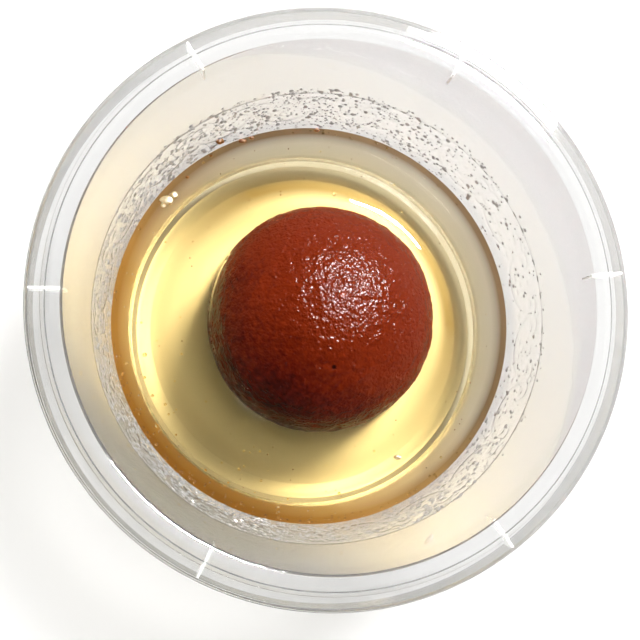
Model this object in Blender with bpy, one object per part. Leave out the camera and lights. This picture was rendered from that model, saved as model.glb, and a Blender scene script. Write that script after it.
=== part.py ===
"""One gulab jamun in sugar syrup, in the clear round plastic tub it is sold in.

Three separate solids in metres, +Z up, standing on z = 0 with the tub's axis on Z:
the tub, the syrup up to its level and cut round the ball, and the ball on the tub's floor.
"""

import math

import bmesh
import bpy
from mathutils import Vector

# Tub: one thin-walled moulding, turned about Z
TUB_HEIGHT = 0.0650
WALL = 0.0008
FOOT_INNER_RADIUS = 0.0372
FOOT_HEIGHT = 0.0008
HEEL_RADIUS = 0.0024
CORNER_RADIUS = 0.0030
FLOOR_RADIUS = 0.0417
BAND_TOP = 0.0420
BAND_TOP_RADIUS = 0.04645
MOUTH_RADIUS = 0.04836

# Tub rim: a raised bead, a ledge one step lower and a skirt that hangs from the ledge
BEAD_CREST_RADIUS = 0.0503
BEAD_OUTER_RADIUS = 0.0521
BEAD_FALL = 0.0004
LEDGE_DROP = 0.0012
RIM_RADIUS = 0.0550
SKIRT_HEIGHT = 0.0052
SKIRT_WALL = 0.0007
RIM_ROUND = 0.0005

# Ribs under the rim, between the wall and the skirt
RIB_ANGLES = (5.0, 62.0, 120.0, 178.0, 242.0, 304.0)
RIB_WIDTH = 0.0007
RIB_HEIGHT = 0.0036
RIB_BITE = 0.0003

# Ball: a fried milk dumpling, a little uneven
BALL_RADIUS = 0.0248
BALL_CENTRE_X = 0.0013
BALL_CENTRE_Y = 0.0004
BALL_LUMPS = 0.00035

# Syrup
SYRUP_LEVEL = 0.0264
GAP = 0.0003

# Mesh fineness
TURNS = 72
ARC_STEPS = 4
BALL_SEGMENTS = 48
BALL_RINGS = 26

FLOOR_TOP = FOOT_HEIGHT + WALL
WALL_SLOPE = (BAND_TOP_RADIUS - FLOOR_RADIUS) / (BAND_TOP - FLOOR_TOP)
BALL_CENTRE = Vector((BALL_CENTRE_X, BALL_CENTRE_Y, FLOOR_TOP + GAP + BALL_RADIUS))


def clear_scene():
    """Remove whatever the file holds before the model is made."""
    for thing in list(bpy.data.objects):
        bpy.data.objects.remove(thing, do_unlink=True)


def material(name, colour, roughness, transmission=0.0, ior=1.45):
    """A Principled material with the sub-part's own colour and finish."""
    made = bpy.data.materials.new(name)
    made.use_nodes = True
    shader = made.node_tree.nodes["Principled BSDF"]
    shader.inputs["Base Color"].default_value = (*colour, 1.0)
    shader.inputs["Roughness"].default_value = roughness
    shader.inputs["Metallic"].default_value = 0.0
    shader.inputs["Transmission Weight"].default_value = transmission
    shader.inputs["IOR"].default_value = ior
    return made


def finish(name, mesh, look):
    """Put a mesh into the scene as a named object, shaded smooth away from its edges."""
    mesh.materials.append(look)
    mesh.shade_smooth()
    mesh.set_sharp_from_angle(angle=math.radians(35))
    made = bpy.data.objects.new(name, mesh)
    bpy.context.collection.objects.link(made)
    return made


def arc(centre_r, centre_z, radius, start, end):
    """Points of a round corner in the (r, z) plane, from one angle in degrees to another."""
    angles = (math.radians(start + (end - start) * i / ARC_STEPS) for i in range(ARC_STEPS + 1))
    return [(centre_r + radius * math.cos(a), centre_z + radius * math.sin(a)) for a in angles]


def spun(name, profile):
    """A closed mesh turned about Z from a profile whose two ends lie on the axis."""
    shape = bmesh.new()
    corners = [shape.verts.new((r, 0.0, z)) for r, z in profile]
    for first, second in zip(corners, corners[1:]):
        shape.edges.new((first, second))
    bmesh.ops.spin(
        shape,
        geom=shape.verts[:] + shape.edges[:],
        cent=(0.0, 0.0, 0.0),
        axis=(0.0, 0.0, 1.0),
        angle=math.tau,
        steps=TURNS,
        use_merge=True,
    )
    bmesh.ops.remove_doubles(shape, verts=shape.verts[:], dist=1e-6)
    bmesh.ops.recalc_face_normals(shape, faces=shape.faces[:])
    mesh = bpy.data.meshes.new(name)
    shape.to_mesh(mesh)
    shape.free()
    return mesh


def inner_radius(height):
    """Radius of the wall's inside: two cones that meet at the top of the patterned band."""
    if height <= BAND_TOP:
        return FLOOR_RADIUS + WALL_SLOPE * (height - FLOOR_TOP)
    share = (height - BAND_TOP) / (TUB_HEIGHT - BAND_TOP)
    return BAND_TOP_RADIUS + share * (MOUTH_RADIUS - BAND_TOP_RADIUS)


def corner(bottom, outset, radius):
    """A round corner from a flat bottom up into the lower wall, set out from the wall's inside."""
    centre_r = inner_radius(bottom + radius) + outset - radius * math.hypot(1.0, WALL_SLOPE)
    return arc(centre_r, bottom + radius, radius, -90.0, -math.degrees(math.atan(WALL_SLOPE)))


def tub_profile():
    """The tub's section, from the middle of the underside round the rim to the middle of the floor."""
    ledge_top = TUB_HEIGHT - LEDGE_DROP
    ledge_under = ledge_top - WALL
    skirt_bottom = ledge_top - SKIRT_HEIGHT
    skirt_inner = RIM_RADIUS - SKIRT_WALL
    bead_under = TUB_HEIGHT - BEAD_FALL - WALL
    step_inner = BEAD_OUTER_RADIUS - WALL
    outside = [(0.0, FOOT_HEIGHT), (FOOT_INNER_RADIUS, FOOT_HEIGHT), (FOOT_INNER_RADIUS + FOOT_HEIGHT, 0.0)]
    outside += corner(0.0, WALL, HEEL_RADIUS)
    outside += [(inner_radius(h) + WALL, h) for h in (BAND_TOP, bead_under)]
    under_rim = [
        (step_inner, bead_under),
        (step_inner, ledge_under),
        (skirt_inner, ledge_under),
        (skirt_inner, skirt_bottom),
        (RIM_RADIUS, skirt_bottom),
    ]
    over_rim = arc(RIM_RADIUS - RIM_ROUND, ledge_top - RIM_ROUND, RIM_ROUND, 0.0, 90.0)
    over_rim += [
        (BEAD_OUTER_RADIUS, ledge_top),
        (BEAD_OUTER_RADIUS, TUB_HEIGHT - BEAD_FALL),
        (BEAD_CREST_RADIUS, TUB_HEIGHT),
    ]
    over_rim += arc(MOUTH_RADIUS + RIM_ROUND, TUB_HEIGHT - BEAD_FALL - RIM_ROUND, RIM_ROUND, 90.0, 180.0)
    inside = [(inner_radius(BAND_TOP), BAND_TOP)]
    inside += reversed(corner(FLOOR_TOP, 0.0, CORNER_RADIUS))
    inside += [(0.0, FLOOR_TOP)]
    return outside + under_rim + over_rim + inside


def rib(index):
    """One upright web under the rim, let into the wall, the ledge and the skirt."""
    top = TUB_HEIGHT - LEDGE_DROP - WALL + RIB_BITE
    bottom = top - RIB_HEIGHT
    near = inner_radius(top) + WALL - RIB_BITE
    far = RIM_RADIUS - SKIRT_WALL + RIB_BITE
    shape = bmesh.new()
    bmesh.ops.create_cube(shape, size=1.0)
    bmesh.ops.scale(shape, vec=(far - near, RIB_WIDTH, top - bottom), verts=shape.verts[:])
    bmesh.ops.translate(shape, vec=((near + far) / 2, 0.0, (top + bottom) / 2), verts=shape.verts[:])
    mesh = bpy.data.meshes.new(f"rib_cutter_{index}")
    shape.to_mesh(mesh)
    shape.free()
    made = bpy.data.objects.new(f"rib_guide_{index}", mesh)
    made.rotation_euler.z = math.radians(RIB_ANGLES[index])
    made.hide_render = True
    made.display_type = "WIRE"
    bpy.context.collection.objects.link(made)
    return made


def make_tub():
    """The turned shell with its ribs joined on."""
    look = material("clear_polypropylene", (0.93, 0.94, 0.94), 0.08, transmission=1.0, ior=1.49)
    tub = finish("tub", spun("tub", tub_profile()), look)
    for index in range(len(RIB_ANGLES)):
        join = tub.modifiers.new(f"rib_{index}", "BOOLEAN")
        join.operation = "UNION"
        join.solver = "EXACT"
        join.object = rib(index)
    return tub


def ball_mesh(name, clearance=0.0):
    """A ball whose radius swells and dips in a few broad lumps, grown by a clearance."""
    shape = bmesh.new()
    bmesh.ops.create_uvsphere(shape, u_segments=BALL_SEGMENTS, v_segments=BALL_RINGS, radius=1.0)
    for vertex in shape.verts:
        way = vertex.co.normalized()
        lump = math.sin(2.3 * way.x + 0.8) * math.cos(2.9 * way.y - 0.5)
        lump += 0.6 * math.sin(4.1 * way.z + 2.2 * way.x) * (1.0 - way.z**2)
        side = 1.0 - max(0.0, -way.z) ** 2
        vertex.co = BALL_CENTRE + way * (BALL_RADIUS + BALL_LUMPS * lump * side + clearance)
    mesh = bpy.data.meshes.new(name)
    shape.to_mesh(mesh)
    shape.free()
    return mesh


def make_ball():
    """The fried ball, solid right through."""
    look = material("fried_syrup_soaked_crust", (0.25, 0.045, 0.008), 0.28)
    return finish("gulab_jamun", ball_mesh("gulab_jamun"), look)


def make_syrup():
    """The syrup in the tub up to its level, with the ball's room cut out of it."""
    bottom = FLOOR_TOP + GAP
    profile = [(0.0, bottom)]
    profile += corner(bottom, -GAP, CORNER_RADIUS)
    profile += [(inner_radius(SYRUP_LEVEL) - GAP, SYRUP_LEVEL), (0.0, SYRUP_LEVEL)]
    look = material("sugar_syrup", (0.93, 0.78, 0.36), 0.03, transmission=1.0, ior=1.42)
    syrup = finish("syrup", spun("syrup", profile), look)
    room = bpy.data.objects.new("ball_room", ball_mesh("ball_room", GAP))
    room.hide_render = True
    room.display_type = "WIRE"
    bpy.context.collection.objects.link(room)
    cut = syrup.modifiers.new("room_for_ball", "BOOLEAN")
    cut.operation = "DIFFERENCE"
    cut.solver = "EXACT"
    cut.object = room
    return syrup


clear_scene()
make_tub()
make_syrup()
make_ball()
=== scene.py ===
"""One gulab jamun in sugar syrup, in its clear moulded tub.

Lengths are in millimetres, turned to metres when a mesh is made. +Z is up, and Z is the tub's axis.
"""

import math

import bpy
import numpy as np
from mathutils import Matrix, Vector


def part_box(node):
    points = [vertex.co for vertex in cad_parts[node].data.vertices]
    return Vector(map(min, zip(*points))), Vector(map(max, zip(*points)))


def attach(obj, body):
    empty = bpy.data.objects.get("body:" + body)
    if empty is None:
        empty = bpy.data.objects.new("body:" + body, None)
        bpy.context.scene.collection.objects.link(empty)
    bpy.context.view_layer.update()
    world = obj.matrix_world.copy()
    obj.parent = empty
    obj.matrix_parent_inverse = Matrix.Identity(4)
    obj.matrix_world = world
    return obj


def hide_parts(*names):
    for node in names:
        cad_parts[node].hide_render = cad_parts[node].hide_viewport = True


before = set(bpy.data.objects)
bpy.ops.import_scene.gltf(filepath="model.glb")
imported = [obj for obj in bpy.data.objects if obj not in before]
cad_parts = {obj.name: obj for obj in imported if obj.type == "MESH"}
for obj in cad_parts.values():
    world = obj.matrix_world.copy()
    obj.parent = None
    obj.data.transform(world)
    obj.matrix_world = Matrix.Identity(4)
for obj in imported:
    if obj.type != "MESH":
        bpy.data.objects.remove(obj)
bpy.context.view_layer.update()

# ---------------------------------------------------------------------------------------------
# The tub: a thin-walled pot of clear polypropylene, injection moulded in one shot. It flares
# upwards, stands on a foot ring, and its mouth ends in a raised bead, a ledge one step lower for
# the lid, and a skirt. A band of scrollwork is moulded proud of the outside of the wall.
MM = 0.001
tub_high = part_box("tub")[1]
rim_radius = tub_high.x / MM
tub_height = tub_high.z / MM
wall = 0.5
floor_top = 1.6
foot_height = floor_top - wall
heel_top = 5.6
floor_radius = 41.7
band_top = 42.0
band_top_radius = 46.45
mouth_radius = 48.36
bead_fall = 0.4
ledge_top = tub_height - 1.2
skirt_bottom = ledge_top - 5.2
tub_columns = 720
syrup_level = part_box("syrup")[1].z / MM
creep_wall = 0.3
# far_side_way points to the side away from the window.
far_side_way = (-17.0, -14.0, 0.0)

scroll_repeats = 20
scroll_bottom = 30.2
scroll_line = 0.48
scroll_height = 0.06


def inner_radius(height):
    """Radius of the wall's inside at a height: two cones that meet at the top of the scroll band."""
    low = floor_radius + (band_top_radius - floor_radius) * (height - floor_top) / (band_top - floor_top)
    high = band_top_radius + (mouth_radius - band_top_radius) * (height - band_top) / (tub_height - band_top)
    return np.where(height < band_top, low, high)


def rounded(corners):
    """An outline through corners (x, y, radius). Each corner gives way to the arc that touches both
    its sides: the arc's centre is on the line that halves the corner, at radius / sin(half angle)."""
    points = [np.array(corners[0][:2], float)]
    for before, corner, after in zip(corners, corners[1:], corners[2:]):
        here = np.array(corner[:2], float)
        if corner[2] == 0:
            points.append(here)
            continue
        back = np.array(before[:2]) - here
        on = np.array(after[:2]) - here
        back = back / np.hypot(*back)
        on = on / np.hypot(*on)
        half = math.acos(np.clip(back @ on, -1, 1)) / 2
        centre = here + (back + on) / np.hypot(*(back + on)) * corner[2] / math.sin(half)
        start = here + back * corner[2] / math.tan(half) - centre
        turn = math.copysign(math.pi - 2 * half, back[0] * on[1] - back[1] * on[0]) * -1
        widest_step = math.radians(24 if corner[2] > 1 else 31)
        steps = max(2, math.ceil(abs(turn) / widest_step))
        angles = math.atan2(start[1], start[0]) + turn * np.arange(steps + 1) / steps
        points += list(centre + corner[2] * np.stack([np.cos(angles), np.sin(angles)], 1))
    points.append(np.array(corners[-1][:2], float))
    return np.array(points)


def closed_skin(name, rows):
    """A closed mesh from rows of points (row, place round it, xyz) in millimetres: the first and
    last rows shrink to single points, and faces join each row to the next, facing outwards."""
    count = rows.shape[1]
    inner = rows[1:-1].reshape(-1, 3)
    points = np.concatenate([rows[0].mean(0)[None], inner, rows[-1].mean(0)[None]])
    here = np.arange(count)
    after = (here + 1) % count
    starts = 1 + count * np.arange(rows.shape[0] - 3)[:, None]
    quads = np.stack([starts + here, starts + after, starts + count + after, starts + count + here], -1)
    end = len(points) - 1
    fans = [np.stack([np.zeros_like(here), 1 + after, 1 + here], 1)]
    fans.append(np.stack([np.full_like(here, end), end - count + here, end - count + after], 1))
    first, second, third = (points[quads.reshape(-1, 4)[:, i]] for i in range(3))
    if (np.cross(first, second) * third).sum() < 0:
        quads = quads[..., ::-1]
        fans = [fan[:, ::-1] for fan in fans]
    mesh = bpy.data.meshes.new(name)
    faces = quads.reshape(-1, 4).tolist() + np.concatenate(fans).tolist()
    mesh.from_pydata((points * MM).tolist(), [], faces)
    mesh.shade_smooth()
    made = bpy.data.objects.new(name, mesh)
    bpy.context.collection.objects.link(made)
    return made


def scroll_relief(across, up):
    """Height of the moulded scrollwork over one repeat, mirrored about its middle. Half an ellipse
    hangs between two crossings; from each crossing a spiral r = a (1 - b t) curls up and in over it,
    a ring hangs below the crossing, and dots fill the gaps. A line is 1 - (distance / width)^2."""
    half = math.pi * band_top_radius / scroll_repeats
    tall = band_top - scroll_bottom
    t = np.linspace(0, 1, 120)
    swing = t * math.pi / 2
    festoon = np.stack([half * np.sin(swing), 0.6 * tall * (1 - np.cos(swing))], 1)
    angle = np.radians(-20 + 330 * t)
    radius = 2.5 * (1 - 0.62 * t)
    spiral = np.stack([half - 2.4 + radius * np.cos(angle), 0.64 * tall + radius * np.sin(angle)], 1)
    turn = math.tau * t
    ring = np.stack([half + 1.25 * np.cos(turn), 0.26 * tall + 1.45 * np.sin(turn)], 1)
    lines = np.concatenate([festoon, spiral, ring])
    dots = [(0, 0.34), (0, 0.62), (1.5, 0.2), (half - 2.6, 0.62), (half, 0.86), (half / 2, 1), (0, 1)]
    spots = np.stack(np.meshgrid(np.abs(across), up), -1)
    away = np.sqrt(((spots[:, :, None] - lines) ** 2).sum(-1)).min(-1)
    relief = np.clip(1 - (away / scroll_line) ** 2, 0, None)
    for x, y in dots:
        gap = np.hypot(spots[..., 0] - x, spots[..., 1] - y * tall)
        relief = np.maximum(relief, 1.4 * np.clip(1 - (gap / 0.6) ** 2, 0, None))
    return scroll_height * relief


def wall_wave(angle, height):
    """Out-of-round of a thin moulded wall: 0.05 sin(3a + 0.06z) + 0.035 sin(7a - 0.11z + 1.3), fading
    out towards the floor and the rim."""
    wave = 0.05 * np.sin(3 * angle + 0.06 * height) + 0.035 * np.sin(7 * angle - 0.11 * height + 1.3)
    return wave * np.clip((height - floor_top) / 15, 0, 1) * np.clip((ledge_top - 3 - height) / 6, 0, 1)


def tub_rows():
    """The tub's section carried round its axis: x = r cos a, y = r sin a, z = z, with the
    scrollwork and its border line added to r on the outside of the wall."""
    wet_heights = (syrup_level + creep_wall, syrup_level + 0.2, 20.0, 12.0)
    wet = [(float(inner_radius(h)), h, 0) for h in wet_heights]
    band_heights = np.arange(scroll_bottom - 0.6, band_top + 1.2, 0.3)
    band = [(float(inner_radius(h)) + wall, h, 0) for h in band_heights]
    bead_under = tub_height - bead_fall - wall
    bead_root, bead_crown, bead_edge = 51.3, 50.3, 52.1
    skirt_inside = rim_radius - 0.7
    hollow_radius, foot_radius = 28.0, 36.6
    corners = [
        (0, foot_height, 0),
        (hollow_radius, foot_height, 30.0),
        (foot_radius, 0, 14.0),
        (float(inner_radius(0)) + wall, 0, 5.0),
        *band,
        (float(inner_radius(bead_under)) + wall, bead_under, 0.25),
        (bead_root, bead_under, 0.25),
        (bead_root, ledge_top - wall, 0.25),
        (skirt_inside, ledge_top - wall, 0.25),
        (skirt_inside, skirt_bottom, 0.2),
        (rim_radius, skirt_bottom, 0.3),
        (rim_radius, ledge_top, 0.5),
        (bead_edge, ledge_top, 0.2),
        (bead_edge, tub_height - bead_fall, 0.3),
        (bead_crown, tub_height, 1.5),
        (mouth_radius, tub_height - bead_fall, 0.5),
        (band_top_radius, band_top, 6.0),
        *wet,
        (floor_radius, floor_top, 4.5),
        (0, floor_top, 0),
    ]
    section = rounded(corners)
    angle = math.tau * np.arange(tub_columns) / tub_columns
    r = np.repeat(section[:, :1], tub_columns, 1)
    z = np.repeat(section[:, 1:], tub_columns, 1)
    outside = np.abs(section[:, 0] - inner_radius(section[:, 1]) - wall) < 0.01
    rows = np.flatnonzero(outside & (section[:, 1] > scroll_bottom - 0.6) & (section[:, 1] < band_top + 0.9))
    each = tub_columns // scroll_repeats
    across = ((np.arange(each) + 0.5) / each - 0.5) * math.tau * band_top_radius / scroll_repeats
    relief = scroll_relief(across, section[rows, 1] - scroll_bottom)
    r[rows] += np.tile(relief, (1, scroll_repeats))
    r += (outside * 0.06 * np.clip(1 - ((section[:, 1] - band_top) / 0.6) ** 2, 0, None))[:, None]
    r += wall_wave(angle, z)
    return np.stack([r * np.cos(angle), r * np.sin(angle), z], -1)


def linear(code):
    """An sRGB hex colour as the linear red, green, blue and alpha that shaders take."""
    parts = np.array([int(code[i : i + 2], 16) / 255 for i in (1, 3, 5)])
    parts = np.where(parts <= 0.04045, parts / 12.92, ((parts + 0.055) / 1.055) ** 2.4)
    return (*parts.tolist(), 1.0)


def add(tree, kind, inputs=None, **settings):
    """A node with its settings, and each input given a value or linked to another node's output."""
    made = tree.nodes.new("ShaderNode" + kind)
    for name, value in settings.items():
        setattr(made, name, value)
    for name, value in (inputs or {}).items():
        if isinstance(value, bpy.types.NodeSocket):
            tree.links.new(value, made.inputs[name])
        else:
            made.inputs[name].default_value = value
    return made


def new_material(name):
    """An empty node material and its tree."""
    made = bpy.data.materials.new(name)
    made.use_nodes = True
    made.node_tree.nodes.clear()
    return made, made.node_tree


def lamps_through(tree, shader, clear, edge, falloff, hidden=0.0):
    """The surface of a clear body: lamps and bounced light pass it straight, dimmed to the colour
    clear where they meet it square on and to edge where they graze it; the eye sees the shader.
    Where hidden is 1 there is no surface: the eye passes too, and nothing dims."""
    path = add(tree, "LightPath")
    facing = add(tree, "LayerWeight", {"Blend": 0.5})
    slant = add(tree, "Math", {0: facing.outputs["Facing"], 1: falloff}, operation="POWER")
    seen = add(tree, "Math", {0: 1.0, 1: hidden}, operation="SUBTRACT")
    share = add(tree, "Math", {0: slant.outputs[0], 1: seen.outputs[0]}, operation="MULTIPLY")
    dim = add(tree, "Mix", {0: share.outputs[0], 6: clear, 7: edge}, data_type="RGBA")
    passed = add(tree, "BsdfTransparent", {"Color": dim.outputs[2]})
    shadow, bounced = path.outputs["Is Shadow Ray"], path.outputs["Is Diffuse Ray"]
    lamp = add(tree, "Math", {0: shadow, 1: bounced}, operation="MAXIMUM")
    either = add(tree, "Math", {0: lamp.outputs[0], 1: hidden}, operation="MAXIMUM")
    mixed = add(tree, "MixShader", {0: either.outputs[0], 1: shader, 2: passed.outputs[0]})
    return mixed.outputs[0]


def clear_polypropylene(
    name,
    index,
    roughness=0.02,
    tone="#FBFCFC",
    painted_shadow_tone=None,
    haze=None,
    haze_from=0.0,
    far_side_tone=None,
    far_side_from=0.0,
    slanting=("#B4B4B4", 3.0),
):
    """Clarified polypropylene, moulded and glossy: almost no colour of its own and a faint ripple of
    11 mm swirls. Its index is 1.49 against air, and 1.49 / 1.44 where syrup lies against it. Haze
    glows with light from behind: haze[0] seen square on, haze[1] along the wall, from none at the
    height haze_from to all of it 6 mm above. On the side away from the window, past far_side_from along
    far_side_way, the glow is tinted far_side_tone. A painted shadow: painted_shadow_tone darkens a ring of
    the floor, most of all towards the window, and stands in for the shadow that the rim casts there. The
    steps of the rim bend light out of its way, so the rim passes less of it. Slanting is the tone of what
    passes a surface at a slant, and its falloff."""
    swirl = 11.11
    made, tree = new_material(name)
    place = add(tree, "TexCoord").outputs["Object"]
    height = add(tree, "SeparateXYZ", {0: place}).outputs["Z"]
    ripple = add(tree, "TexNoise", {"Vector": place, "Scale": 1 / (swirl * MM), "Detail": 2.0})
    bump = add(tree, "Bump", {"Strength": 0.06, "Distance": 0.0006, "Height": ripple.outputs["Fac"]})
    body_tone = linear(tone)
    # Painted shadow: a darker ring on the floor, strongest towards the window, stands in for the shadow the
    # rim casts there.
    if painted_shadow_tone:
        level = add(tree, "VectorMath", {0: place, 1: (1.0, 1.0, 0.0)}, operation="MULTIPLY")
        out = add(tree, "VectorMath", {0: level.outputs[0]}, operation="LENGTH")
        inner_edge = {"Value": out.outputs["Value"], 1: 31.0 * MM, 2: 35.5 * MM, 3: 0.0, 4: 1.0}
        outer_edge = {"Value": out.outputs["Value"], 1: 36.5 * MM, 2: 41.5 * MM, 3: 1.0, 4: 0.0}
        start = add(tree, "MapRange", inner_edge, interpolation_type="SMOOTHSTEP")
        end = add(tree, "MapRange", outer_edge, interpolation_type="SMOOTHSTEP")
        ring = add(tree, "Math", {0: start.outputs[0], 1: end.outputs[0]}, operation="MULTIPLY")
        from_window = (-12.0, -18.0, 0.0)
        away = add(tree, "VectorMath", {0: place, 1: from_window}, operation="DOT_PRODUCT")
        full = add(tree, "MapRange", {"Value": away.outputs["Value"], 1: -0.45, 2: 0.0, 3: 1.0, 4: 0.3})
        painted_shadow_share = add(tree, "Math", {0: ring.outputs[0], 1: full.outputs[0]}, operation="MULTIPLY")
        tones = {0: painted_shadow_share.outputs[0], 6: linear(tone), 7: linear(painted_shadow_tone)}
        body_tone = add(tree, "Mix", tones, data_type="RGBA").outputs[2]
    shader = add(
        tree,
        "BsdfPrincipled",
        {
            "Base Color": body_tone,
            "Roughness": roughness,
            "IOR": index,
            "Transmission Weight": 0.93,
            "Normal": bump.outputs[0],
        },
    )
    body = shader.outputs[0]
    if haze:
        # The glow takes far_side_tone on the side away from the window.
        lean = add(tree, "VectorMath", {0: place, 1: far_side_way}, operation="DOT_PRODUCT")
        far_side_reach = {"Value": lean.outputs["Value"], 1: far_side_from, 2: far_side_from + 0.9, 3: 0.0, 4: 1.0}
        film = add(tree, "MapRange", far_side_reach)
        white, far_side_colour = linear("#FFFDF8"), linear(far_side_tone)
        tint = add(tree, "Mix", {0: film.outputs[0], 6: white, 7: far_side_colour}, data_type="RGBA")
        glow = add(tree, "BsdfTranslucent", {"Color": tint.outputs[2]})
        facing = add(tree, "LayerWeight", {"Blend": 0.5})
        slant = add(tree, "Math", {0: facing.outputs["Facing"], 1: 1.5}, operation="POWER")
        thick = add(tree, "MapRange", {"Value": slant.outputs[0], 1: 0.0, 2: 1.0, 3: haze[0], 4: haze[1]})
        low, high = haze_from * MM, (haze_from + 6) * MM
        rise = add(tree, "MapRange", {"Value": height, 1: low, 2: high, 3: 0.0, 4: 1.0})
        share = add(tree, "Math", {0: thick.outputs[0], 1: rise.outputs[0]}, operation="MULTIPLY")
        body = add(tree, "MixShader", {0: share.outputs[0], 1: body, 2: glow.outputs[0]}).outputs[0]
    rim_low, rim_high = skirt_bottom * MM, (skirt_bottom + 1.5) * MM
    rim = add(tree, "MapRange", {"Value": height, 1: rim_low, 2: rim_high, 3: 0.0, 4: 1.0})
    plain, stepped = linear("#FCFCFB"), linear("#E0E0DE")
    clear = add(tree, "Mix", {0: rim.outputs[0], 6: plain, 7: stepped}, data_type="RGBA")
    surface = lamps_through(tree, body, clear.outputs[2], linear(slanting[0]), slanting[1])
    add(tree, "OutputMaterial", {"Surface": surface})
    return made


def finish_faces(made):
    """Finish 1 for the inside below the syrup's edge; 2, the matt grain of the mould's base, for the
    underside up to where the heel ends; 0 for the rest."""
    centre = np.zeros(len(made.data.polygons) * 3)
    made.data.polygons.foreach_get("center", centre)
    centre = centre.reshape(-1, 3) / MM
    radius = np.hypot(centre[:, 0], centre[:, 1])
    inside = (radius < inner_radius(centre[:, 2]) + wall / 2) & (centre[:, 2] > floor_top - wall / 2)
    finish = np.where(inside & (centre[:, 2] < syrup_level + creep_wall), 1, 0)
    finish = np.where(~inside & (centre[:, 2] < heel_top), 2, finish)
    made.data.polygons.foreach_set("material_index", finish.astype(np.int32))
    made.data.update()


tub = closed_skin("tub_shell", tub_rows())
tub.modifiers.new("flat_walls_stay_flat", "WEIGHTED_NORMAL").weight = 80
plastic_index, syrup_index = 1.49, 1.44
dry_wall = clear_polypropylene(
    "clear_moulded_polypropylene",
    plastic_index,
    tone="#F3F4F5",
    haze=(0.02, 0.3),
    haze_from=20.0,
    far_side_tone="#8E8A8A",
    far_side_from=0.25,
)
wet_wall = clear_polypropylene(
    "clear_polypropylene_under_syrup",
    plastic_index / syrup_index,
    # painted shadow of the rim on the floor
    painted_shadow_tone="#8E7A50",
    haze=(0.1, 0.9),
    haze_from=2.5,
    far_side_tone="#E8A848",
    far_side_from=-0.35,
    slanting=("#505058", 1.4),
)
matt_base = clear_polypropylene("matt_grained_polypropylene_base", plastic_index, roughness=0.5)
for finish in (dry_wall, wet_wall, matt_base):
    tub.data.materials.append(finish)
finish_faces(tub)
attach(tub, "root")
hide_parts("tub")

# ---------------------------------------------------------------------------------------------
# Six upright webs under the rim, moulded with the tub. They stiffen the skirt where the mould's
# segments meet, and each has a hollowed lower edge.
rib_angles = np.radians((5.0, 62.0, 120.0, 178.0, 242.0, 304.0))
rib_half_width = 0.2
rib_drop = 4.2


def rib_mesh(name):
    """Each web's outline, in radius and height, pushed half its width to both sides and turned to
    its angle: x = r cos a - s sin a, y = r sin a + s cos a."""
    top = ledge_top - wall + 0.1
    near = float(inner_radius(top)) + wall - 0.1
    far = rim_radius - 0.65
    t = np.linspace(0, 1, 9)
    lower = np.stack([near + (far - near) * t, top - rib_drop + 1.5 * np.sin(math.pi * t)], 1)
    outline = np.concatenate([lower, [(far, top), (near, top)]])
    count = len(outline)
    r = np.concatenate([outline[:, 0], outline[:, 0]])
    z = np.concatenate([outline[:, 1], outline[:, 1]])
    side = np.repeat((-rib_half_width, rib_half_width), count)
    a = rib_angles[:, None]
    points = np.stack([r * np.cos(a) - side * np.sin(a), r * np.sin(a) + side * np.cos(a), z + 0 * a], -1)
    loop = list(range(count))
    sides = [(i, (i + 1) % count, (i + 1) % count + count, i + count) for i in loop]
    faces = [loop[::-1], [i + count for i in loop], *sides]
    all_faces = [[i + 2 * count * k for i in face] for k in range(len(rib_angles)) for face in faces]
    mesh = bpy.data.meshes.new(name)
    mesh.from_pydata((points.reshape(-1, 3) * MM).tolist(), [], all_faces)
    made = bpy.data.objects.new(name, mesh)
    bpy.context.collection.objects.link(made)
    return made


ribs = rib_mesh("tub_rim_ribs")
ribs.data.materials.append(matt_base)
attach(ribs, "root")

# ---------------------------------------------------------------------------------------------
# The ball: milk dough fried to a red-brown skin and soaked in syrup. The skin is wrinkled like
# fine leather, pricked with pores, and wet all over.
ball_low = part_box("gulab_jamun")[0]
ball_radius = 24.8
ball_centre = np.array([1.3, 0.4, ball_low.z / MM + ball_radius])
big_pore = np.array([-0.016, -0.485, 0.874])
orange_spot = np.array([0.041, 0.075, 0.996])
fold_axis = np.array([-0.149, -0.251, 0.957])
fold_reach = 0.872
fold_middle = np.array([0.108, -0.641, 0.76])


def lattice_noise(points, seed):
    """Smooth noise from 0 to 1: a random number at each corner of a unit lattice, blended between
    corners by 6t^5 - 15t^4 + 10t^3 along each axis."""
    table = np.random.default_rng(seed).random((32, 32, 32))
    cell = np.floor(points).astype(int)
    t = points - cell
    t = t * t * t * (t * (t * 6 - 15) + 10)
    total = np.zeros(len(points))
    for corner in np.ndindex(2, 2, 2):
        weight = np.prod(np.where(np.array(corner) == 1, t, 1 - t), axis=1)
        index = (cell + np.array(corner)) % 32
        total += weight * table[index[:, 0], index[:, 1], index[:, 2]]
    return total


def broad_lumps(way):
    """The few broad swellings of a hand-rolled ball, in millimetres, along unit directions."""
    lump = np.sin(2.3 * way[:, 0] + 0.8) * np.cos(2.9 * way[:, 1] - 0.5)
    lump += 0.6 * np.sin(4.1 * way[:, 2] + 2.2 * way[:, 0]) * (1 - way[:, 2] ** 2)
    return 0.35 * lump * (1 - np.clip(-way[:, 2], 0, None) ** 2)


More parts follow.
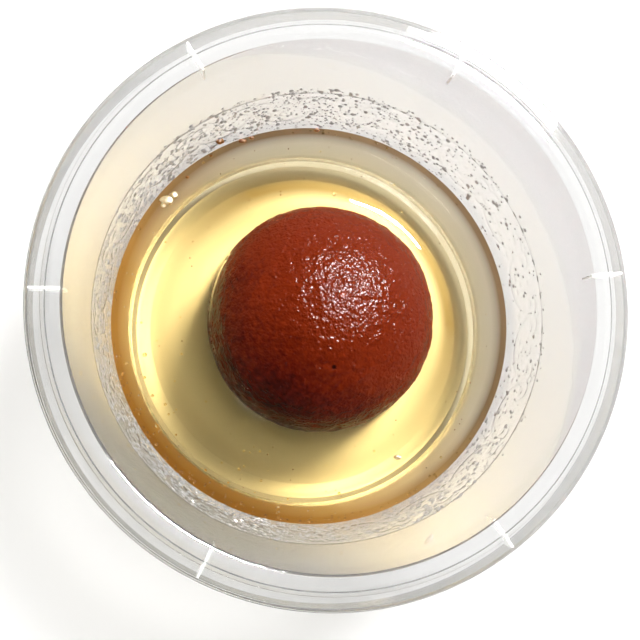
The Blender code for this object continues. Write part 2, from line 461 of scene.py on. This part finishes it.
def skin_relief(way):
    """Wrinkles and pores of the skin, in millimetres: ridges 1 - |2n - 1| of noise at three sizes,
    less a rounded pit around each of many scattered pores and one deep pore, and plus one long fold
    that follows a circle round fold_axis."""
    spots = way * ball_radius
    creases = 1 - np.abs(2 * lattice_noise(spots / 2.6 + 5, 1) - 1)
    fine = 1 - np.abs(2 * lattice_noise(spots / 1.15 + 9, 2) - 1)
    grain = lattice_noise(spots / 0.62, 3)
    relief = 0.2 * lattice_noise(spots / 6.0, 4) + 0.2 * creases**2 + 0.17 * fine + 0.12 * grain
    random = np.random.default_rng(11)
    pores = random.normal(size=(420, 3))
    pores /= np.linalg.norm(pores, axis=1)[:, None]
    sizes = random.uniform(0.25, 0.6, len(pores))
    for pore, size in zip(pores, sizes):
        near = way @ pore
        close = near > 1 - (size / ball_radius) ** 2 / 1.2
        gap = np.sqrt(np.clip(2 - 2 * near[close], 0, None)) * ball_radius
        relief[close] -= 0.16 * size * np.clip(1 - (gap / size) ** 2, 0, None)
    relief -= 0.7 * np.exp(-(((1 - way @ big_pore) * 2 * ball_radius**2) / 0.55**2))
    from_fold = np.abs(way @ fold_axis - fold_reach) * ball_radius
    along = np.clip(1 - ((1 - way @ fold_middle) / 0.045) ** 2, 0, None)
    return relief - 0.2 + 0.14 * np.exp(-((from_fold / 0.35) ** 2)) * along


def ball_rows(columns, count):
    """A ball by angles round and down: centre + direction * (radius + lumps + skin)."""
    down = (math.pi * np.linspace(0, 1, count) ** 1.15)[:, None]
    angle = math.tau * np.arange(columns) / columns
    across = np.sin(down)
    way = np.stack([across * np.cos(angle), across * np.sin(angle), np.cos(down) + 0 * angle], -1)
    flat = way.reshape(-1, 3)
    out = ball_radius + broad_lumps(flat) + skin_relief(flat)
    return ball_centre + (flat * out[:, None]).reshape(way.shape)


def fried_skin():
    """Fried, syrup-soaked skin, index 1.4 and wet, mottled between maroon and orange-brown in broad
    patches and in fine flecks. Light and shade are painted over that: orange-brown on the side towards
    the window, maroon on the side away from it, and near-black in the pit of the big pore. A pebbled
    leather grain of half-millimetre cells with grit between breaks its gloss into glints, and its
    reflections are held weak. The sizes of the patterns are in millimetres."""
    patch, fleck, cell, grit = 11.11, 1.25, 0.5263, 0.7692
    made, tree = new_material("fried_syrup_soaked_skin")
    place = add(tree, "TexCoord").outputs["Object"]
    broad = add(tree, "TexNoise", {"Vector": place, "Scale": 1 / (patch * MM), "Detail": 3.0}).outputs["Fac"]
    mottle = add(tree, "TexNoise", {"Vector": place, "Scale": 1 / (fleck * MM), "Detail": 4.0}).outputs["Fac"]
    # Painted light and shade: the colour runs from maroon on the side away from the window to orange-brown on
    # the side towards it.
    painted_lit_side_way = (13.0, 15.0, 4.0)
    side = add(tree, "VectorMath", {0: place, 1: painted_lit_side_way}, operation="DOT_PRODUCT")
    painted_lit_side = add(tree, "MapRange", {"Value": side.outputs["Value"], 1: -0.35, 2: 0.62, 3: 0.0, 4: 1.0})
    uneven = add(tree, "Math", {0: broad, 1: 0.5, 2: painted_lit_side.outputs[0]}, operation="MULTIPLY_ADD")
    blend = add(tree, "Math", {0: mottle, 1: 0.5, 2: uneven.outputs[0]}, operation="MULTIPLY_ADD")
    tone = add(tree, "ValToRGB", {"Fac": blend.outputs[0]})
    tone.color_ramp.elements[0].position = 0.5
    tone.color_ramp.elements[0].color = linear("#340602")
    tone.color_ramp.elements[1].position = 1.0
    tone.color_ramp.elements[1].color = linear("#84290A")
    middle = tone.color_ramp.elements.new(0.72)
    middle.color = linear("#5A1002")
    spots = tone.outputs[0]
    # The near-black at the big pore is painted shade in its pit.
    for centre, size, colour in ((big_pore, 0.3, "#2A0601"), (orange_spot, 0.4, "#B83C0A")):
        at = tuple(((ball_centre + centre * ball_radius) * MM).tolist())
        away = add(tree, "VectorMath", {0: place, 1: at}, operation="DISTANCE")
        fade = {"Value": away.outputs["Value"], 1: size * MM, 2: size * 2.2 * MM, 3: 1.0, 4: 0.0}
        near = add(tree, "MapRange", fade)
        spot = add(tree, "Mix", {0: near.outputs[0], 6: spots, 7: linear(colour)}, data_type="RGBA")
        spots = spot.outputs[2]
    cells = add(tree, "TexVoronoi", {"Vector": place, "Scale": 1 / (cell * MM)}, feature="SMOOTH_F1")
    grain = add(tree, "TexNoise", {"Vector": place, "Scale": 1 / (grit * MM), "Detail": 2.0}).outputs["Fac"]
    height = add(tree, "Math", {0: cells.outputs["Distance"], 1: -0.7, 2: grain}, operation="MULTIPLY_ADD")
    bump = add(tree, "Bump", {"Strength": 0.8, "Distance": 0.00038, "Height": height.outputs[0]})
    shader = add(
        tree,
        "BsdfPrincipled",
        {
            "Base Color": spots,
            "Roughness": 0.2,
            "IOR": 1.4,
            "Specular IOR Level": 0.06,
            "Normal": bump.outputs[0],
        },
    )
    add(tree, "OutputMaterial", {"Surface": shader.outputs[0]})
    return made


ball = closed_skin("gulab_jamun_ball", ball_rows(420, 230))
ball.data.materials.append(fried_skin())
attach(ball, "root")
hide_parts("gulab_jamun")

# ---------------------------------------------------------------------------------------------
# The syrup: sugar boiled in water, clear and pale gold, with its level at the middle of the ball.
# It creeps up the wall and up the wet ball. Its body reaches just into the wall, the floor and
# the ball, so that no air shows between them.
reach = 0.15
into_ball = 0.9
creep_ball, creep_width = 1.15, 1.5


def syrup_rows(columns):
    """Rows from the middle of the floor out along it, up the wall, in over the surface and down
    inside the ball. On the surface z = level + a exp(-d / w) from the wall and from the ball."""
    angle = math.tau * np.arange(columns) / columns
    way = np.stack([np.cos(angle), np.sin(angle)], 1)
    bottom = floor_top - reach
    side = [(0, bottom, 0), (floor_radius - 0.05 + reach, bottom, 4.5)]
    side.append((float(inner_radius(syrup_level + creep_wall)) + reach, syrup_level + creep_wall, 0))
    side = rounded(side)
    flat = np.repeat(side[:, None, :1] * way[None], 1, 0)
    rows = [np.concatenate([flat, np.repeat(side[:, None, 1:], columns, 1)], -1)]
    wall_ring = way * side[-1, 0]
    inner = ball_radius - into_ball
    ball_ring = ball_centre[:2] + way * inner
    share = (1 - np.cos(np.linspace(0, math.pi, 70)[1:-1])) / 2
    spots = wall_ring + (ball_ring - wall_ring) * share[:, None, None]
    from_wall = np.clip(float(inner_radius(syrup_level)) - np.linalg.norm(spots, axis=-1), 0, None)
    from_ball = np.clip(np.linalg.norm(spots - ball_centre[:2], axis=-1) - ball_radius, 0, None)
    height = syrup_level + creep_wall * np.exp(-from_wall / creep_width)
    height += creep_ball * np.exp(-from_ball / creep_width)
    rows.append(np.concatenate([spots, height[..., None]], -1))
    down = np.linspace(math.pi / 2, math.pi, 26)[:, None]
    hollow = ball_centre[:2] + inner * np.sin(down)[..., None] * way
    depth = np.repeat(ball_centre[2] + inner * np.cos(down), columns, 1)
    rows.append(np.concatenate([hollow, depth[..., None]], -1))
    return np.concatenate(rows)


def mark_contact(made):
    """A mark of 1 on the syrup's faces that lie on the wall, on the floor or inside the ball."""
    centre = np.zeros(len(made.data.polygons) * 3)
    made.data.polygons.foreach_get("center", centre)
    centre = centre.reshape(-1, 3) / MM
    radius = np.hypot(centre[:, 0], centre[:, 1])
    from_ball = np.linalg.norm(centre - ball_centre, axis=1)
    touches = (centre[:, 2] < syrup_level - 0.3) | (radius > inner_radius(centre[:, 2]) + 0.02)
    touches |= from_ball < ball_radius - into_ball / 2
    made.data.attributes.new("contact", "FLOAT", "FACE").data.foreach_set("value", touches.astype(float))


def sugar_syrup():
    """Clear sugar syrup, index 1.44. Its gold comes from depth: it takes most of the blue and a
    little green out of light on its way to the floor and back. Where it lies against the tub and
    the ball it has no surface that the eye could see. Its edge is tinted brown towards the window
    and amber on the other side; the brown is painted shade, standing in for the dark line that the
    curved edge of the syrup shows."""
    made, tree = new_material("clear_golden_sugar_syrup")
    contact = add(tree, "Attribute", attribute_name="contact")
    place = add(tree, "TexCoord").outputs["Object"]
    level = add(tree, "VectorMath", {0: place, 1: (1.0, 1.0, 0.0)}, operation="MULTIPLY")
    out = add(tree, "VectorMath", {0: level.outputs[0]}, operation="LENGTH")
    edge_reach = {"Value": out.outputs["Value"], 1: 41.2 * MM, 2: 43.4 * MM, 3: 0.0, 4: 1.0}
    climb = add(tree, "MapRange", edge_reach)
    lean = add(tree, "VectorMath", {0: place, 1: far_side_way}, operation="DOT_PRODUCT")
    side = add(tree, "MapRange", {"Value": lean.outputs["Value"], 1: -0.35, 2: 0.55, 3: 0.0, 4: 1.0})
    # Painted shade: the brown at the edge on the window side stands in for the dark line that the curved edge
    # of the syrup shows.
    brown, amber = linear("#684A2E"), linear("#C09A60")
    rim = add(tree, "Mix", {0: side.outputs[0], 6: brown, 7: amber}, data_type="RGBA")
    clear = linear("#FFFEFA")
    tint = add(tree, "Mix", {0: climb.outputs[0], 6: clear, 7: rim.outputs[2]}, data_type="RGBA")
    shader = add(
        tree,
        "BsdfPrincipled",
        {"Base Color": tint.outputs[2], "Roughness": 0.0, "IOR": syrup_index, "Transmission Weight": 1.0},
    )
    edge = linear("#C49A5C")
    surface = lamps_through(tree, shader.outputs[0], linear("#FFFFFF"), edge, 1.3, contact.outputs["Fac"])
    depth = add(tree, "VolumeAbsorption", {"Color": linear("#F7DD27"), "Density": 24.5})
    add(tree, "OutputMaterial", {"Surface": surface, "Volume": depth.outputs[0]})
    return made


syrup = closed_skin("sugar_syrup", syrup_rows(480))
syrup.data.materials.append(sugar_syrup())
mark_contact(syrup)
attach(syrup, "root")
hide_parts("syrup")

# ---------------------------------------------------------------------------------------------
# Condensation: beads of clear water that stand on the inside of the wall above the syrup, thickest
# on the cooler side, where they make a mist. Each is a small flat dome.
def repeated(name, shapes, faces):
    """One mesh of many copies: shapes holds each copy's points in millimetres, faces is the faces of
    one copy, and copy k's faces are those numbers plus k times the number of points."""
    count = shapes.shape[1]
    mesh = bpy.data.meshes.new(name)
    every = [[i + count * k for i in face] for k in range(len(shapes)) for face in faces]
    mesh.from_pydata((shapes.reshape(-1, 3) * MM).tolist(), [], every)
    mesh.shade_smooth()
    made = bpy.data.objects.new(name, mesh)
    bpy.context.collection.objects.link(made)
    return made


def domes(name, feet, ways, sizes, tall):
    """Domes of radius size that stand on feet along unit ways: foot + way * tall * size * cos t +
    side * size * sin t, at t = 0, 50 and 90 degrees, with eight sides and a flat base."""
    turn = math.tau * np.arange(8) / 8
    helper = np.where(np.abs(ways[:, 2:]) < 0.8, [[0.0, 0.0, 1.0]], [[1.0, 0.0, 0.0]])
    first = np.cross(ways, helper)
    first /= np.linalg.norm(first, axis=1)[:, None]
    second = np.cross(ways, first)
    around = first[:, None] * np.cos(turn)[:, None] + second[:, None] * np.sin(turn)[:, None]
    size = sizes[:, None, None]
    peak = feet[:, None] + ways[:, None] * size * tall
    middle = feet[:, None] + around * size * 0.77 + ways[:, None] * size * tall * 0.64
    base = feet[:, None] + around * size
    faces = [(0, 1 + i, 1 + (i + 1) % 8) for i in range(8)]
    faces += [(1 + i, 9 + i, 9 + (i + 1) % 8, 1 + (i + 1) % 8) for i in range(8)]
    faces.append(tuple(range(16, 8, -1)))
    return repeated(name, np.concatenate([peak, middle, base], 1), faces)


def wall_beads(count, seed):
    """Places, outward ways and sizes of the beads: the share kept at each azimuth follows a table
    of how wet each side is, and beads have run together a little on the misty side."""
    random = np.random.default_rng(seed)
    degrees = random.uniform(0, 360, count * 3)
    sides = (0, 25, 55, 90, 150, 200, 290, 325, 360)
    wetness = (0.1, 0.2, 0.5, 0.9, 1, 1, 1, 0.3, 0.1)
    wet = np.interp(degrees, sides, wetness)
    angle = np.radians(degrees[random.random(len(degrees)) < wet * 0.5])
    misty = np.interp(np.degrees(angle), (120, 160, 290, 320), (0, 1, 1, 0))
    reach_up = 15.5 + 2.0 * (1 - misty)
    height = syrup_level + creep_wall + 0.6 + random.random(len(angle)) ** 1.15 * reach_up
    sizes = np.clip(random.lognormal(-1.5, 0.5, len(angle)), 0.1, 0.6) * (1 + 0.15 * misty)
    radius = inner_radius(height) + wall_wave(angle, height) + 0.02
    lean = 0.115
    way = np.stack([-np.cos(angle), -np.sin(angle), np.full_like(angle, lean)], 1)
    feet = np.stack([radius * np.cos(angle), radius * np.sin(angle), height], 1)
    return feet, way / np.linalg.norm(way, axis=1)[:, None], sizes


def clear_water():
    """Still water: colourless, perfectly smooth, index 1.33. Beads this fine also scatter some of
    the light, which makes them paler than a clear lens."""
    made, tree = new_material("condensed_water")
    shader = add(
        tree,
        "BsdfPrincipled",
        {"Base Color": linear("#FDFDFD"), "Roughness": 0.0, "IOR": 1.33, "Transmission Weight": 0.6},
    )
    surface = lamps_through(tree, shader.outputs[0], linear("#FFFFFF"), linear("#A8A8A8"), 2.0)
    add(tree, "OutputMaterial", {"Surface": surface})
    return made


condensation = domes("condensation_beads", *wall_beads(4400, 21), 0.34)
condensation.data.materials.append(clear_water())
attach(condensation, "root")

# ---------------------------------------------------------------------------------------------
# Air bubbles in the syrup's skin: they gather where it climbs the wall, mostly on the side away
# from the window, and a few drift about the ball. Each is a thin shell of syrup, so it bends light
# only a little.
def bubble_places(count, seed):
    """Places, upward ways and sizes of bubbles: most within a few millimetres of the wall, the rest
    anywhere between wall and ball; they sit at z = level + creep exp(-d / w)."""
    random = np.random.default_rng(seed)
    degrees = np.concatenate([random.normal(235, 42, count), random.normal(62, 16, count // 6)])
    from_wall = random.exponential(1.3, len(degrees)) + 0.25
    drift = random.random(len(degrees)) < 0.2
    from_wall = np.where(drift, random.uniform(3, 15, len(degrees)), from_wall)
    radius = float(inner_radius(syrup_level)) - from_wall
    angle = np.radians(degrees)
    height = syrup_level + creep_wall * np.exp(-from_wall / creep_width) - 0.03
    feet = np.stack([radius * np.cos(angle), radius * np.sin(angle), height], 1)
    ways = np.tile([0.0, 0.0, 1.0], (len(feet), 1))
    return feet, ways, np.clip(random.lognormal(-1.5, 0.4, len(feet)), 0.1, 0.5)


def syrup_film():
    """A film of syrup round air: nearly clear, glossy, and so thin that its index counts for 1.12."""
    made, tree = new_material("syrup_film")
    shader = add(
        tree,
        "BsdfPrincipled",
        {"Base Color": linear("#FBEFD0"), "Roughness": 0.02, "IOR": 1.12, "Transmission Weight": 1.0},
    )
    surface = lamps_through(tree, shader.outputs[0], linear("#FFFFFF"), linear("#A8A8A8"), 2.0)
    add(tree, "OutputMaterial", {"Surface": surface})
    return made


bubbles = domes("syrup_bubbles", *bubble_places(170, 33), 0.9)
bubbles.data.materials.append(syrup_film())
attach(bubbles, "root")

# ---------------------------------------------------------------------------------------------
# Crumbs and specks shed by the ball: two soft pale crumbs of inner dough, a few browned flakes of
# skin at the syrup's edge and one drying on the wall, and fine dark specks over the syrup.
def lumps(name, centres, sizes, seed, columns, count):
    """Lumpy bits: the unit sphere times each bit's three half sizes, times 0.75 + 0.5 noise."""
    down = np.linspace(0, math.pi, count)[1:-1, None]
    angle = math.tau * np.arange(columns) / columns
    ring = [np.sin(down) * np.cos(angle), np.sin(down) * np.sin(angle), np.cos(down) + 0 * angle]
    unit = np.concatenate([[[0, 0, 1]], np.stack(ring, -1).reshape(-1, 3), [[0, 0, -1]]])
    shifts = np.arange(len(centres))[:, None, None] * 3.7
    noise = lattice_noise((unit[None] * 1.6 + shifts).reshape(-1, 3) + 8, seed).reshape(len(centres), -1, 1)
    shapes = centres[:, None] + unit * sizes[:, None] * (0.75 + 0.5 * noise)
    last = len(unit) - 1
    faces = [(0, 1 + i, 1 + (i + 1) % columns) for i in range(columns)]
    for row in range(count - 3):
        low = 1 + row * columns
        high = low + columns
        for i in range(columns):
            after = (i + 1) % columns
            faces.append((low + i, high + i, high + after, low + after))
    low = last - columns
    faces += [(last, low + (i + 1) % columns, low + i) for i in range(columns)]
    return repeated(name, shapes, faces)


def dough(name, dark, light):
    """Cooked milk dough, soaked: soft, mottled between two tones in flecks of 0.7 mm, slightly glossy."""
    fleck = 0.7143
    made, tree = new_material(name)
    place = add(tree, "TexCoord").outputs["Object"]
    mottle = add(tree, "TexNoise", {"Vector": place, "Scale": 1 / (fleck * MM), "Detail": 3.0})
    tone = add(tree, "ValToRGB", {"Fac": mottle.outputs["Fac"]})
    tone.color_ramp.elements[0].position = 0.35
    tone.color_ramp.elements[0].color = linear(dark)
    tone.color_ramp.elements[1].position = 0.65
    tone.color_ramp.elements[1].color = linear(light)
    shader = add(tree, "BsdfPrincipled", {"Base Color": tone.outputs[0], "Roughness": 0.35, "IOR": 1.4})
    add(tree, "OutputMaterial", {"Surface": shader.outputs[0]})
    return made


pale_centres = np.array([(-32.8, 27.2, 26.5), (-31.3, 28.3, 26.6), (-33.6, 26.0, 26.5), (18.2, -30.7, 26.4)])
pale_sizes = np.array([(1.5, 1.1, 0.5), (0.9, 0.8, 0.5), (0.6, 0.5, 0.4), (0.9, 0.55, 0.35)])
pale = lumps("pale_dough_crumbs", pale_centres, pale_sizes, 5, 20, 14)
pale.data.materials.append(dough("pale_inner_dough", "#D9B26A", "#F2DFB0"))

bit_degrees = np.array([118.0, 111.0, 108.2, 88.4, 121.5, 131.0])
bit_heights = np.array([30.6, 26.9, 26.9, 27.0, 27.0, 26.8])
bit_radius = inner_radius(bit_heights) - np.array([0.15, 0.6, 0.5, 0.5, 0.7, 1.6])
bit_angle = np.radians(bit_degrees)
bit_centres = np.stack([bit_radius * np.cos(bit_angle), bit_radius * np.sin(bit_angle), bit_heights], 1)
bit_sizes = [(1.0, 0.7, 0.75), (1.0, 0.5, 0.4), (0.6, 0.4, 0.4), (0.6, 0.5, 0.4)]
bit_sizes = np.array(bit_sizes + [(0.4, 0.3, 0.3)] * 2)
bits = lumps("browned_skin_flakes", bit_centres, bit_sizes, 6, 14, 10)
bits.data.materials.append(dough("browned_skin", "#8A4A18", "#C98436"))

speck_count = 70
random = np.random.default_rng(44)
speck_angle = random.uniform(0, math.tau, speck_count)
speck_radius = np.sqrt(random.uniform(28.0**2, 42.5**2, speck_count))
speck_centres = np.stack([speck_radius * np.cos(speck_angle), speck_radius * np.sin(speck_angle)], 1)
speck_depths = random.uniform(syrup_level - 3, syrup_level, (speck_count, 1))
speck_centres = np.concatenate([speck_centres, speck_depths], 1)
speck_sizes = random.uniform(0.07, 0.2, (speck_count, 1)) * np.array([[1.0, 1.0, 0.6]])
specks = lumps("dark_specks", speck_centres, speck_sizes, 7, 7, 6)
specks.data.materials.append(dough("dark_fried_speck", "#4A2408", "#8A5A20"))
for crumb in (pale, bits, specks):
    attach(crumb, "root")

# ---------------------------------------------------------------------------------------------
# The floor under the tub, the camera above it and to one side, and soft studio light: two panels
# high up on one side, a small one that only makes glints, and even light from all round.
floor_half = 2.0
floor_mesh = bpy.data.meshes.new("studio_floor")
floor_corners = [(x * floor_half, y * floor_half, 0) for x, y in ((-1, -1), (1, -1), (1, 1), (-1, 1))]
floor_mesh.from_pydata(floor_corners, [], [(0, 1, 2, 3)])
studio_floor = bpy.data.objects.new("studio_floor", floor_mesh)
bpy.context.collection.objects.link(studio_floor)
paper, paper_tree = new_material("white_paper")
paper_shader = add(paper_tree, "BsdfPrincipled", {"Base Color": linear("#F2F2F2"), "Roughness": 0.9})
add(paper_tree, "OutputMaterial", {"Surface": paper_shader.outputs[0]})
floor_mesh.materials.append(paper)

camera_data = bpy.data.cameras.new("camera")
camera_data.lens = 46.125
camera_data.sensor_width = 36.0
camera = bpy.data.objects.new("camera", camera_data)
bpy.context.collection.objects.link(camera)
camera_place = Vector((-22.83, -20.44, 208.15)) * MM
back = Vector((-0.13028, -0.11187, 0.98514)).normalized()
up = Vector((0.003877, 0.993549, 0.11334))
right = up.cross(back).normalized()
up = back.cross(right)
turn = Matrix((right, up, back)).transposed().to_4x4()
camera.matrix_world = Matrix.Translation(camera_place) @ turn
bpy.context.scene.camera = camera


def panel(name, azimuth, elevation, distance, size, power, tint):
    """A square soft light that faces the tub from an azimuth and an elevation in degrees."""
    data = bpy.data.lights.new(name, "AREA")
    data.shape = "SQUARE"
    data.size = size
    data.energy = power
    data.color = tint
    lamp = bpy.data.objects.new(name, data)
    bpy.context.collection.objects.link(lamp)
    a, e = math.radians(azimuth), math.radians(elevation)
    way = Vector((math.cos(e) * math.cos(a), math.cos(e) * math.sin(a), math.sin(e)))
    lamp.location = way * distance + Vector((0, 0, 0.03))
    lamp.rotation_euler = way.to_track_quat("Z", "Y").to_euler()
    return lamp


window = panel("window_light", 52, 62, 2.4, 0.5, 42.0, (1.0, 0.99, 0.97))
overhead = panel("overhead_light", 50, 75, 1.8, 1.3, 8.5, (1.0, 0.98, 0.95))
glint = panel("window_glint", 50, 58, 0.9, 0.19, 190.0, (1.0, 0.99, 0.97))
window.visible_glossy = False
overhead.visible_glossy = False
glint.visible_diffuse = False

world = bpy.data.worlds.new("even_light")
world.use_nodes = True
sky = world.node_tree
sky.nodes.clear()
sky_way = add(sky, "TexCoord").outputs["Generated"]
sky_height = add(sky, "SeparateXYZ", {0: sky_way})
window_way = (0.64, 0.77, 0.0)
toward = add(sky, "VectorMath", {0: sky_way, 1: window_way}, operation="DOT_PRODUCT")
side_tone = add(sky, "MapRange", {"Value": toward.outputs["Value"], 1: -1.0, 2: 1.0, 3: 0.2, 4: 0.85})
sky_tone = add(sky, "ValToRGB", {"Fac": sky_height.outputs["Z"]})
sky_tone.color_ramp.elements[0].position = 0.35
sky_tone.color_ramp.elements[0].color = (1.0, 1.0, 1.0, 1.0)
sky_tone.color_ramp.elements[1].position = 0.92
sky_tone.color_ramp.elements[1].color = (0.1, 0.1, 0.1, 1.0)
sky_light = add(sky, "Background", {"Color": sky_tone.outputs[0], "Strength": side_tone.outputs[0]})
add(sky, "OutputWorld", {"Surface": sky_light.outputs[0]})
bpy.context.scene.world = world

settings = bpy.context.scene
settings.view_settings.view_transform = "Standard"
settings.cycles.max_bounces = 24
settings.cycles.transmission_bounces = 20
settings.cycles.transparent_max_bounces = 40
settings.cycles.caustics_reflective = False
